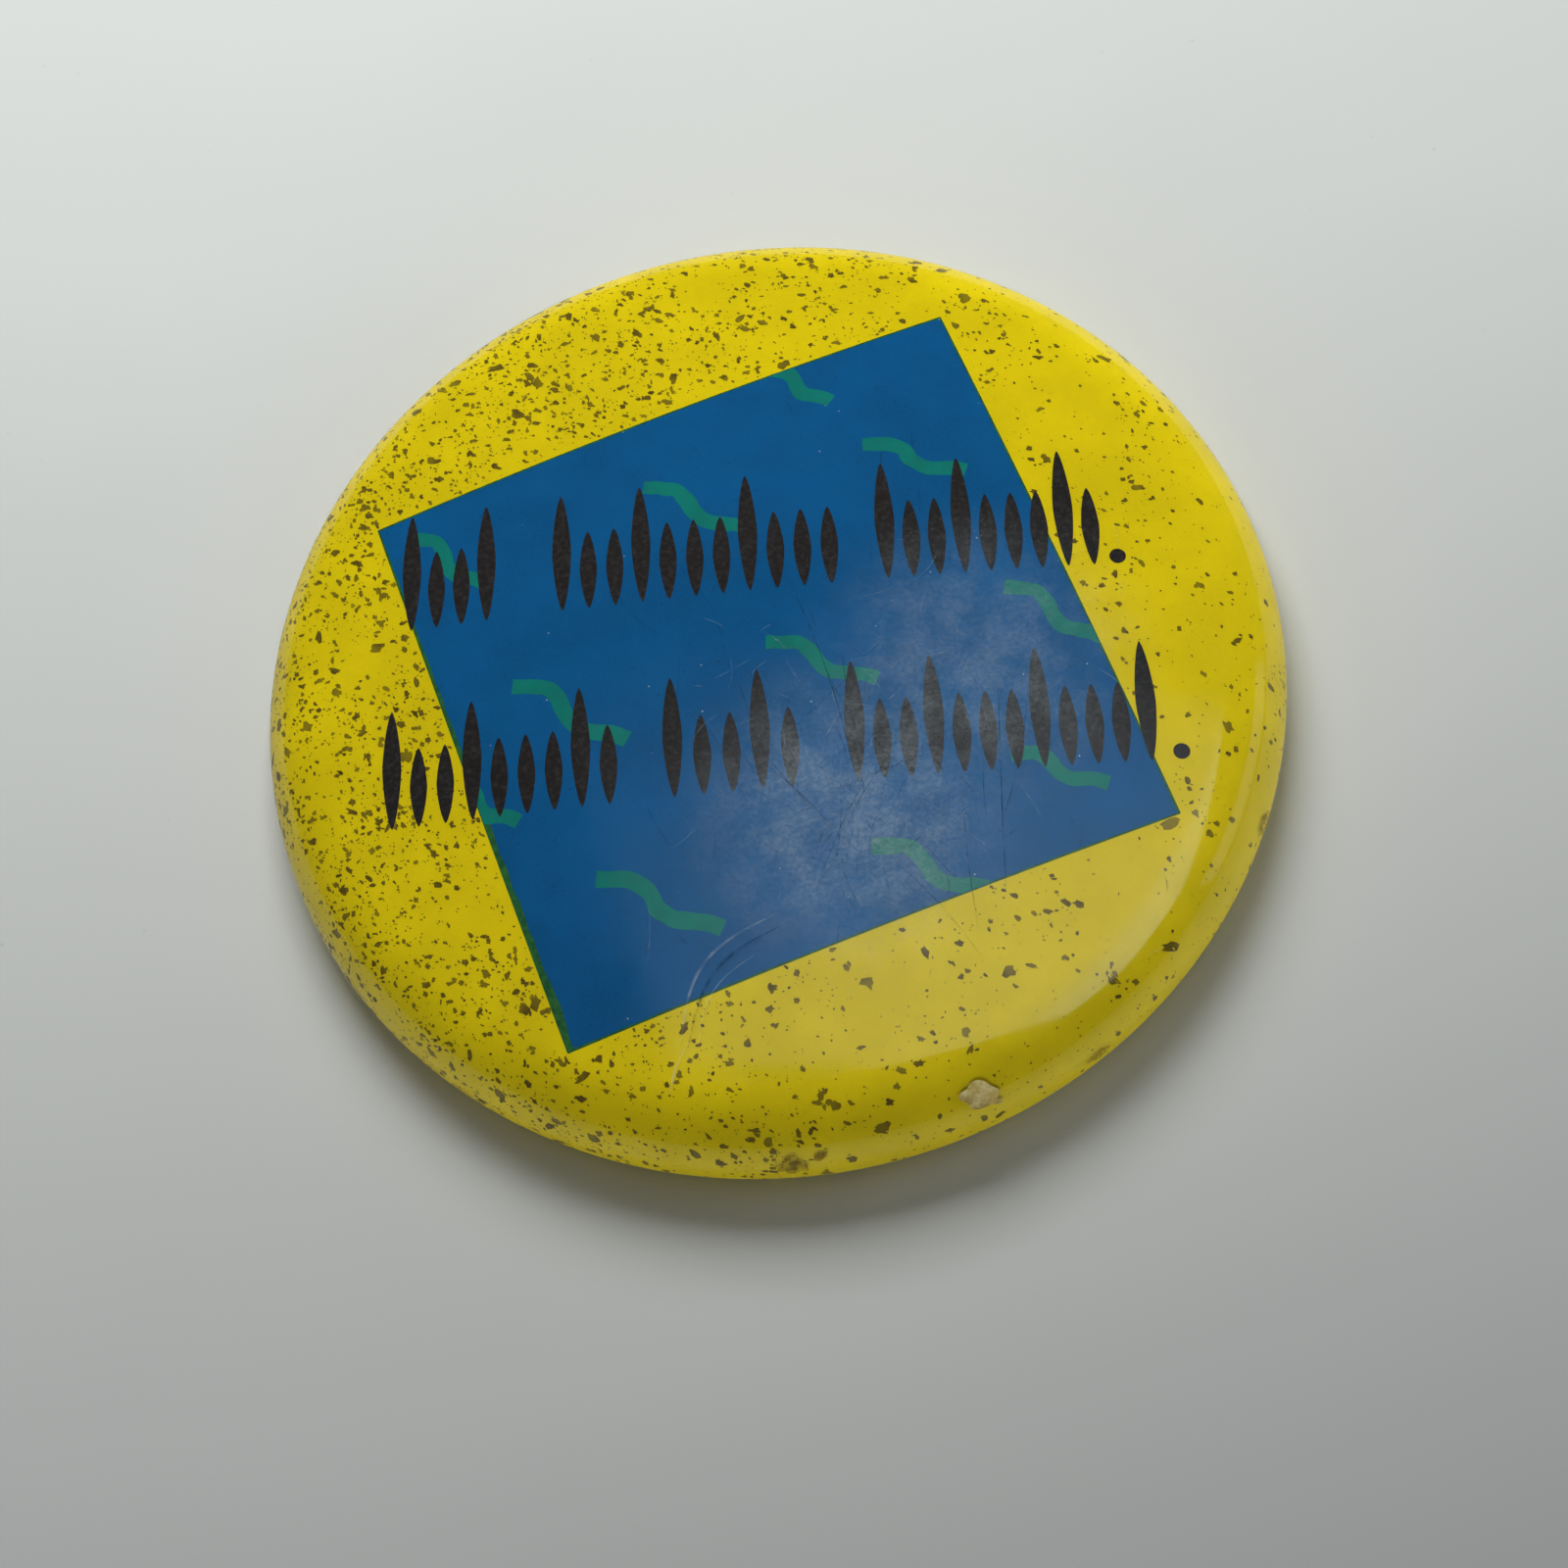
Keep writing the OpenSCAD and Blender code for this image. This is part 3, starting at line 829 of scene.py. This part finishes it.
class BADGE_OT_squiggles(bpy.types.Operator):
    """Print the short squiggles on the square"""

    bl_idname = "badge.squiggles"
    bl_label = "Squiggles"

    starts = ((1.2, 17.6), (-6.1, 10.4), (6.3, 11.8), (-19.5, 9.1), (13.4, 2.1),
              (0.3, -0.2), (-13.7, -1.2), (12.9, -7.9), (-17.6, -6.6), (5.2, -12.5), (-9.4, -12.9))
    ends = ((4.7, 15.0), (-0.2, 6.9), (11.9, 9.6), (-15.0, 5.3), (18.6, -1.5),
            (6.2, -2.9), (-7.4, -5.1), (17.9, -9.9), (-13.5, -9.2), (11.4, -15.5), (-2.8, -16.3))
    # how far the line strays from the chord to its left, in shares of its length, at even steps
    wave = (0.0, 0.055, 0.105, 0.07, -0.045, -0.085, -0.05, 0.0, 0.0)

    steps, layers, smoothings = 32, 4, 3

    def execute(self, context):
        props = context.scene.badge_print
        pick = random.Random(props.seed)
        bm = bmesh.new()
        for start, end in zip(self.starts, self.ends):
            wide, swell = pick.uniform(0.42, 0.47), pick.uniform(0.85, 1.1)
            self.stroke(bm, self.line(Vector((*start, 0)), Vector((*end, 0)), swell), wide)
        self.trim(bm, *square_frame(props))
        bmesh.ops.recalc_face_normals(bm, faces=bm.faces)
        face_up(bm)
        lift(bm, LINE_INK)
        as_piece("squiggles", bm, "badge", "print", squiggle_ink(props.squiggle))
        return {"FINISHED"}

    def line(self, a, b, swell):
        """The waving middle line of a squiggle between two points."""
        side, length, last = sideways(b - a), (b - a).length, len(self.wave) - 1
        line = []
        for i in range(self.steps + 1):
            place = i / self.steps * last
            k = min(int(place), last - 1)
            f = place - k
            f = f * f * (3 - 2 * f)
            across = self.wave[k] * (1 - f) + self.wave[k + 1] * f
            line.append(a.lerp(b, i / self.steps) + side * across * swell * length)
        for _ in range(self.smoothings):
            inner = [(before + at * 2 + after) / 4 for before, at, after in zip(line, line[1:], line[2:])]
            line = [line[0], *inner, line[-1]]
        return line

    def stroke(self, bm, line, wide):
        """A brush stroke along a line, drawn in layers from its left side to its right."""
        normals = [
            sideways(line[min(i + 1, self.steps)] - line[max(i - 1, 0)]) for i in range(self.steps + 1)]
        row = [bm.verts.new(
            at + side * wide * (1 + 0.16 * noise.noise(at * 1.3))) for at, side in zip(line, normals)]
        edges = [bm.edges.new(pair) for pair in zip(row, row[1:])]
        for _ in range(self.layers):
            fresh, edges = widened(bm, edges)
            for vert in fresh:
                near = min(range(len(line)), key=lambda k: (line[k] - vert.co).length)
                uneven = noise.noise(line[near] * 1.3 + Vector((5, 0, 0)))
                vert.co -= normals[near] * wide / 2 * (1 + 0.16 * uneven)

    @staticmethod
    def trim(bm, middle, half_w, half_h, turn):
        """Cuts off what lies outside the square."""
        for sign, half, axis in ((1, half_w, 0), (-1, half_w, 0), (1, half_h, 1), (-1, half_h, 1)):
            outward = turn @ Vector([sign if k == axis else 0 for k in range(3)])
            bmesh.ops.bisect_plane(
                bm, geom=[*bm.verts, *bm.edges, *bm.faces], dist=1e-5,
                plane_co=middle + outward * (half - 0.02), plane_no=outward, clear_outer=True)


class BADGE_OT_marks(bpy.types.Operator):
    """Print two rows of plain upright marks in word-like groups"""

    bl_idname = "badge.marks"
    bl_label = "Rows of Marks"

    # foot of the row, height of its tall marks, first and last mark of each group, place of the dot
    rows = (
        (3.1, 7.4, ((-19.4, -15.1), (-10.8, 4.1), (7.2, 18.4)), 19.7),
        (-8.75, 7.0, ((-20.5, -8.5), (-5.0, 1.3), (4.8, 20.3)), 21.9),
    )
    pitch, low_share, dot_size = 1.42, 0.66, 0.9
    tall_width, low_width, pointed = 1.08, 0.98, 1.5

    def execute(self, context):
        props = context.scene.badge_print
        bm = bmesh.new()

        def mark(x, foot, width, height, power):
            """A filled superellipse that stands on foot: a round one has a power of 2."""
            ring = bmesh.ops.create_circle(bm, cap_ends=True, cap_tris=True, radius=1, segments=40)["verts"]
            for vert in ring:
                turn = math.atan2(vert.co.y, vert.co.x)
                if vert.co.length > 0.5:
                    c, s = math.cos(turn), math.sin(turn)
                    vert.co.x = math.copysign(abs(c) ** (2 / power), c)
                    vert.co.y = math.copysign(abs(s) ** (2 / power), s)
                vert.co = (x + vert.co.x * width / 2, foot + (1 + vert.co.y) * height / 2, 0)

        for foot, height, groups, dot in self.rows:
            for left, right in groups:
                count = max(2, round((right - left) / self.pitch) + 1)
                for i in range(count):
                    x = left + (right - left) * i / (count - 1)
                    if i == 0 or i % 4 == 3:
                        mark(x, foot, self.tall_width, height, self.pointed)
                    else:
                        mark(x, foot, self.low_width, height * self.low_share, self.pointed)
            mark(dot, foot, self.dot_size, self.dot_size, 2)
        bmesh.ops.subdivide_edges(
            bm, edges=[e for e in bm.edges if e.calc_length() > 1.0], cuts=3, use_grid_fill=True)
        bmesh.ops.triangulate(bm, faces=bm.faces)
        face_up(bm)
        lift(bm, MARK_INK)
        as_piece("marks", bm, "badge", "print", black_ink(props.black))
        return {"FINISHED"}


class BADGE_OT_flecks(bpy.types.Operator):
    """Splatter the ground with small dark flecks, thickest on the left"""

    bl_idname = "badge.flecks"
    bl_label = "Flecks"

    reach, margin, batch = 33.0, 0.2, 250
    tiny_size, tiny_spread = 0.095, 0.25
    size, spread, largest = 0.205, 0.45, 0.38
    lean, lean_spread = -38, 34

    def execute(self, context):
        props = context.scene.badge_print
        middle, half_w, half_h, turn = square_frame(props)
        back = turn.inverted()
        pick = random.Random(props.seed + 1)
        # a long list of small shapes is slow to add to, so they are made in batches
        whole, bm = bmesh.new(), bmesh.new()
        made = 0
        while made < props.flecks:
            away, round_ = self.reach * math.sqrt(pick.random()), pick.uniform(-math.pi, math.pi)
            at = Vector((away * math.cos(round_), away * math.sin(round_), 0))
            local = back @ (at - middle)
            if abs(local.x) < half_w + self.margin and abs(local.y) < half_h + self.margin:
                continue
            left = max(0.0, -math.cos(round_ - 0.25))
            upper = max(0.0, math.cos(round_ - math.radians(115))) ** 2
            crowd = 0.20 + 0.76 * left + 0.50 * upper
            crowd *= 0.45 + 1.1 * (0.5 + noise.noise(at * 0.25 + Vector((0, 0, props.seed))))
            if pick.random() > crowd:
                continue
            few = max(0.0, 1.0 - left - upper) * max(0.0, math.cos(round_ + math.radians(65)))
            self.fleck(bm, pick, at, few)
            made += 1
            if made % self.batch == 0 or made == props.flecks:
                take_in(whole, bm)
                bm = bmesh.new()
        bm.free()
        face_up(whole)
        lift(whole, LINE_INK)
        as_piece("flecks", whole, "badge", "print", fleck_ink())
        return {"FINISHED"}

    def fleck(self, bm, pick, at, few):
        """One jagged fleck. Where they are few there are more tiny ones, and the others are larger."""
        tiny = pick.random() < 0.52 + 0.24 * few
        size, spread = (self.tiny_size, self.tiny_spread) if tiny else (self.size + 0.07 * few, self.spread)
        size = min(0.5 * math.exp(pick.gauss(math.log(size), spread)), self.largest)
        long, lean = pick.uniform(1.0, 2.2), math.radians(pick.gauss(self.lean, self.lean_spread))
        long = math.sqrt(long)
        sides = 5 if tiny else 7 if size < 0.13 else 11
        ring = bmesh.ops.create_circle(
            bm, cap_ends=True, cap_tris=not tiny, radius=1, segments=sides)["verts"]
        for vert in ring:
            jag = pick.uniform(0.55, 1.3) if vert.co.length > 0.5 else 0
            point = Vector((vert.co.x * jag * size * long, vert.co.y * jag * size / long, 0))
            vert.co = at + Matrix.Rotation(lean, 3, "Z") @ point


class BADGE_OT_wear(bpy.types.Operator):
    """Add hairline scratches, a rubbed arc, a glue blob and stains to the film"""

    bl_idname = "badge.wear"
    bl_label = "Wear"

    def execute(self, context):
        pick = random.Random(context.scene.badge_print.seed + 2)
        bm = bmesh.new()

        def hair(points, width):
            """A thin flat strip along points, pointed at both ends."""
            last = len(points) - 1
            rows = []
            for side in (1, -1):
                row = []
                for i, point in enumerate(points):
                    across = sideways(points[min(i + 1, last)] - points[max(i - 1, 0)])
                    taper = math.sin(math.pi * (0.04 + 0.92 * i / last)) ** 0.6
                    row.append(bm.verts.new(point + across * side * width / 2 * taper))
                rows.append([bm.edges.new(pair) for pair in zip(row, row[1:])])
            bmesh.ops.bridge_loops(bm, edges=rows[0] + rows[1])

        def bow(a, b, bulge, steps=14):
            """Points from a to b on a curve that bulges to the left."""
            a, b = Vector((*a, 0)), Vector((*b, 0))
            side = sideways(b - a) * bulge
            shares = [i / steps for i in range(steps + 1)]
            return [a.lerp(b, share) + side * math.sin(math.pi * share) for share in shares]

        def straight(at, turn, length):
            """A scratch through a point, with a slight bow."""
            away = Vector((math.cos(turn), math.sin(turn), 0)) * min(length, 8) / 2
            return bow((at - away).xy, (at + away).xy, pick.gauss(0, 0.05) * length)

        def close(name, material):
            face_up(bm)
            lift(bm, -0.001)
            as_piece(name, bm, "badge", "film", material)

        for i in range(context.scene.badge_wear.scratches):
            if i % 4 > 0:
                at = Vector((pick.gauss(5.0, 4.0), pick.gauss(-9.0, 4.0), 0))
            else:
                at = Vector((pick.gauss(2, 9), pick.gauss(0, 9), 0))
            turn = math.radians(pick.choice((-66, -58, 30, 62, 74, 98)) + pick.gauss(0, 14))
            length = math.exp(pick.gauss(0.2, 0.75))
            hair(straight(at, turn, length), pick.uniform(0.02, 0.055))
        for a, b, wide in (((1.8, 3.4), (4.6, -8.2), 0.07), ((4.4, -1.0), (5.2, -7.6), 0.06),
                           ((5.4, -8.4), (2.2, -14.8), 0.06), ((12.6, -3.5), (12.0, -15.5), 0.07),
                           ((10.2, -9.0), (10.4, -17.5), 0.05), ((14.2, -3.6), (11.8, -12.4), 0.05)):
            hair(bow(a, b, pick.gauss(0, 0.25), 24), wide)
        hair(bow((-4.9, -22.3), (0.2, -16.5), 1.25, 30), 0.16)
        close("scratches_dark", scratch_mark("scratch_dark", (0.012, 0.040, 0.085), 0.45))

        bm = bmesh.new()
        hair(bow((-5.3, -22.2), (-0.2, -15.9), 1.45, 30), 0.17)
        hair(bow((-4.4, -22.6), (-1.2, -17.9), 0.9, 30), 0.07)
        hair(bow((-6.0, -24.8), (-5.0, -22.4), 0.15), 0.13)
        hair(bow((-6.6, -14.4), (-6.9, -18.2), 0.1), 0.05)
        for _ in range(context.scene.badge_wear.scratches // 2):
            at = Vector((pick.gauss(6.0, 5.0), pick.gauss(-6.0, 5.0), 0))
            turn, length = pick.uniform(0, math.pi), pick.uniform(0.4, 2.4)
            hair(straight(at, turn, length), pick.uniform(0.02, 0.04))
        close("scratches_light", scratch_mark("scratch_light", (0.60, 0.68, 0.76), 0.24))

        self.blots("glue_blob", dried_glue(), (
            (9.9, -26.25, 2.0, 1.35, -12, 0.35, 0.11), (10.9, -26.75, 0.6, 0.4, 10, 0.4, 0.03)))
        self.blots("stains", brown_stain(), (
            (-0.1, -29.6, 1.9, 1.3, 8, 0.5, 0.004), (1.4, -29.0, 0.9, 0.5, 30, 0.5, 0.003),
            (16.9, -24.9, 1.3, 0.8, 35, 0.5, 0.003), (27.4, -12.1, 0.9, 1.6, -25, 0.5, 0.003)))
        return {"FINISHED"}

    def blots(self, name, material, places):
        """A piece made of blots, each vertex standing proud of the film by its own height."""
        bm = bmesh.new()
        heights = {}
        for place in places:
            heights.update(self.blot(bm, *place))
        for vert, height in heights.items():
            reach = math.hypot(vert.co.x, vert.co.y)
            radius, level = profile_point(reach, -height)
            vert.co = (vert.co.x * radius / reach, vert.co.y * radius / reach, level)
        bmesh.ops.recalc_face_normals(bm, faces=bm.faces)
        for face in bm.faces:
            if face.normal.dot(face.calc_center_median()) < 0:
                face.normal_flip()
        as_piece(name, bm, "badge", "film", material)

    @staticmethod
    def blot(bm, x, y, width, height, lean, ragged, thick):
        """A low irregular blot on the flat, and the height of its crown over each of its vertices."""
        made = bmesh.ops.create_grid(bm, x_segments=12, y_segments=12, size=1)["verts"]
        tilt = Matrix.Rotation(math.radians(lean), 3, "Z")
        heights = {}
        for vert in made:
            far = max(abs(vert.co.x), abs(vert.co.y))
            if far > 0:
                vert.co *= far / vert.co.length
            turn = Vector((vert.co.x, vert.co.y, x)) * 1.5
            point = Vector((vert.co.x * width / 2, vert.co.y * height / 2, 0))
            vert.co = tilt @ (point * (1 + ragged * noise.noise(turn))) + Vector((x, y, 0))
            crown = (1 - far ** 2) * (0.8 + 0.5 * noise.noise(turn * 2.4))
            heights[vert] = thick * max(0.0, crown) + 0.002
        return heights


class BADGE_OT_shell(bpy.types.Operator):
    """Add the tinplate shell, curled in round the back plate"""

    bl_idname = "badge.shell"
    bl_label = "Shell"

    def execute(self, context):
        metal = tinplate("shell_tinplate", context.scene.badge_wear.tarnish)
        shell = as_piece("tin_shell", spun(layer_outline(SHELL, 60)), "badge", "tinplate", metal, sharp=60)
        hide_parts("shell")
        return {"FINISHED"}


class BADGE_OT_back_plate(bpy.types.Operator):
    """Press the back plate, with its bridges over the wire and its catch hook"""

    bl_idname = "badge.back_plate"
    bl_label = "Back Plate"

    def execute(self, context):
        bm = self.punched(context, self.pressed())
        flat = DISH_Z + PLATE_T / 2
        for x in BRIDGE_X:
            left = [(LEG_Y - 0.95, flat)] + arc((LEG_Y - 0.81, flat - 0.25), 0.25, 90, 0, 6)
            right = arc((LEG_Y + 0.81, flat - 0.25), 0.25, 180, 90, 6) + [(LEG_Y + 0.95, flat)]
            round_wire = arc((LEG_Y, LEG_Z), 0.56, 180, 360, 20)
            take_in(bm, metal_strip(left + round_wire + right, x, BRIDGE_W - 0.04, STRIP_T))
        fold_y = STEM_Y - 0.55 - PLATE_T - 0.15
        hook = [(fold_y - 0.2, flat)] + arc((fold_y, flat - 0.29), 0.29, 90, 0, 8)
        hook += arc((STEM_Y, STEM_Z), 0.69, 180, 290, 24)
        take_in(bm, metal_strip(hook, HOOK_X, HOOK_W, STRIP_T, tip=0.35))
        metal = tinplate("plate_tinplate", context.scene.badge_wear.tarnish, 0.95)
        plate = as_piece("back_plate_tin", bm, "badge", "tinplate", metal, sharp=35)
        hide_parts("back_plate")
        return {"FINISHED"}

    @staticmethod
    def pressed():
        """The dished disc with its flange, before it is punched."""
        shoulder, foot, lip = (19.9, 2.71), (21.98, 2.31), (26.85, 1.73)  # middles of its bends
        tight, wide, turned_up = 0.9, 0.9 + PLATE_T, 0.6
        ring = (22.15, 24.4, 26.7)
        dish = (19.75, 16, 8, 0)
        ring_z = foot[1] - wide
        under = [(radius, DISH_Z) for radius in reversed(dish)]
        under += arc(shoulder, tight, 90, 0) + arc(foot, wide, 180, 270)
        under += [(radius, ring_z) for radius in ring] + arc(lip, turned_up, -90, 0) + [(27.45, 3.27)]
        over = [(27.42, 3.3), (27.2, 3.3), (27.17, 3.27)] + arc(lip, turned_up - PLATE_T, 0, -90)
        over += [(radius, ring_z + PLATE_T) for radius in reversed(ring)] + arc(foot, tight, 270, 180)
        over += arc(shoulder, wide, 0, 90) + [(radius, DISH_Z + PLATE_T) for radius in dish]
        return spun(under + over, steps=240)

    @staticmethod
    def punched(context, bm):
        """The disc with its slots under the bridges and the hook, and the hole for the wire's end."""
        punch_h, punch_z = 2.3, DISH_Z + 0.14
        cutter = bmesh.new()
        slots = [(x, LEG_Y, BRIDGE_W, 0.84) for x in BRIDGE_X] + [(HOOK_X, 0.22, HOOK_W, 3.6)]
        for x, y, width, depth in slots:
            made = bmesh.ops.create_cube(cutter, size=1)["verts"]
            bmesh.ops.scale(cutter, verts=made, vec=(width, depth, punch_h))
            bmesh.ops.translate(cutter, verts=made, vec=(x, y, punch_z))
            upright = {e for v in made for e in v.link_edges if abs(e.verts[0].co.z - e.verts[1].co.z) > 1}
            bmesh.ops.bevel(
                cutter, geom=list(upright), offset=0.12, segments=4, profile=0.5, affect="EDGES",
                material=-1)
        hole = bmesh.ops.create_cone(
            cutter, cap_ends=True, segments=40, radius1=0.55, radius2=0.55, depth=punch_h)["verts"]
        bmesh.ops.translate(cutter, verts=hole, vec=(WIRE_HOLE_X, LEG_Y, punch_z))
        bmesh.ops.recalc_face_normals(cutter, faces=cutter.faces)
        mesh = bpy.data.meshes.new("cutter")
        cutter.to_mesh(mesh)
        cutter.free()
        punch = bpy.data.objects.new("cutter", mesh)
        context.scene.collection.objects.link(punch)
        bm = settled(bm, ("BOOLEAN", {"operation": "DIFFERENCE", "solver": "EXACT", "object": punch}))
        bpy.data.objects.remove(punch)
        return bm


def coil_point(turn, height):
    """A point of the coil: an angle round its axis and a height along it."""
    flat = Vector((COIL_R * math.cos(turn), COIL_R * math.sin(turn), height))
    return COIL_MID + Matrix.Rotation(-COIL_TILT, 3, "X") @ flat


def coil_half(sign):
    """Points of one half of the coil, from where the wire parts: the fixed one turns on, the other back."""
    turns = [math.radians(COIL_PART + sign * 5 * i) for i in range(55)]
    return [coil_point(turn, coil_height(turn)) for turn in turns]


def coil_height(turn):
    """Height of the wire along the coil's axis: level on both turns, and rising between them."""
    share = min(1.0, max(0.0, (math.degrees(turn) - COIL_PART + 90) / 180))
    return COIL_STEP * (share * share * (3 - 2 * share) - 0.5)


def bend(corner, before, after, radius, steps=8):
    """Points round a corner of a wire between two unit directions."""
    half = before.angle(after) / 2
    start = corner - before * radius * math.tan(half)
    side = (after - before * before.dot(after)).normalized()
    middle = start + side * radius
    return [middle + (-side * math.cos(t) + before * math.sin(t)) * radius
            for t in (2 * half * i / steps for i in range(steps + 1))]


class BADGE_OT_pin(bpy.types.Operator):
    """Wind the spring wire: the held leg with its half of the coil, and the pin that swings"""

    bl_idname = "badge.pin"
    bl_label = "Pin Wire"

    def execute(self, context):
        metal = spring_wire()
        along = Vector((1, 0, 0))

        points = coil_half(1)
        points[-1].y, points[-1].z = LEG_Y, LEG_Z
        points += [Vector((x, LEG_Y, LEG_Z)) for x in (-16.8, -14, -10, -6, -2)]
        up, clinch = Vector((0, 0, 1)), DISH_Z + PLATE_T + WIRE_R + 0.04
        points += bend(Vector((WIRE_HOLE_X, LEG_Y, LEG_Z)), along, up, 0.5)
        points += bend(Vector((WIRE_HOLE_X, LEG_Y, clinch)), up, along, 0.5)
        points += [Vector((x, LEG_Y, clinch)) for x in (2.6, 3.6, 3.85, 3.95, 4.0)]
        radii = [WIRE_R] * (len(points) - 3) + [0.38, 0.32, 0.2]
        spring = as_piece("spring_leg", tube(points, radii), "badge", "spring_wire", metal, sharp=60)
        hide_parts("pin_spring")

        points = coil_half(-1)
        points[-1].y, points[-1].z = 0, STEM_Z
        jog, stem = Vector((-15, 0, STEM_Z)), Vector((-12.8, STEM_Y, STEM_Z))
        slant = (stem - jog).normalized()
        points += [Vector((-16.2, 0, STEM_Z))] + bend(jog, along, slant, 1.5) + bend(stem, slant, along, 1.5)
        points += [Vector((x, STEM_Y, STEM_Z)) for x in (-8, -3, 2, 7, 12.0)]
        radii = [WIRE_R] * len(points)
        for i in range(15):
            share = i / 14
            points.append(Vector((12.6 + 5.6 * share, STEM_Y, STEM_Z)))
            radii.append(max(0.02, WIRE_R * (1 - share ** 1.35 * 0.9) if i < 14 else 0.03))
        arm = as_piece("pin_needle", tube(points, radii), "pin", "spring_wire", metal, sharp=60)
        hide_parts("pin_arm")
        return {"FINISHED"}


class BADGE_PT_panel(bpy.types.Panel):
    """Sizes, colours and pieces of the badge"""

    bl_idname = "BADGE_PT_panel"
    bl_label = "Button Badge"
    bl_space_type = "VIEW_3D"
    bl_region_type = "UI"
    bl_category = "Badge"

    def draw(self, context):
        for name in ("badge_print", "badge_wear", "badge_stage"):
            box = self.layout.box()
            group = getattr(context.scene, name)
            for key in type(group).__annotations__:
                box.prop(group, key)
        for step in STEPS:
            self.layout.operator(step.bl_idname)


STEPS = (
    BADGE_OT_stage, BADGE_OT_film, BADGE_OT_paper, BADGE_OT_square, BADGE_OT_squiggles, BADGE_OT_marks,
    BADGE_OT_flecks, BADGE_OT_wear, BADGE_OT_shell, BADGE_OT_back_plate, BADGE_OT_pin,
)
GROUPS = {"badge_print": BadgePrint, "badge_wear": BadgeWear, "badge_stage": BadgeStage}


def register():
    for item in (*GROUPS.values(), *STEPS, BADGE_PT_panel):
        bpy.utils.register_class(item)
    for name, group in GROUPS.items():
        setattr(bpy.types.Scene, name, bpy.props.PointerProperty(type=group))


def unregister():
    for name in GROUPS:
        delattr(bpy.types.Scene, name)
    for item in reversed((*GROUPS.values(), *STEPS, BADGE_PT_panel)):
        bpy.utils.unregister_class(item)


def main():
    register()
    for step in STEPS:
        family, name = step.bl_idname.split(".")
        getattr(getattr(bpy.ops, family), name)()


if __name__ == "__main__":
    main()
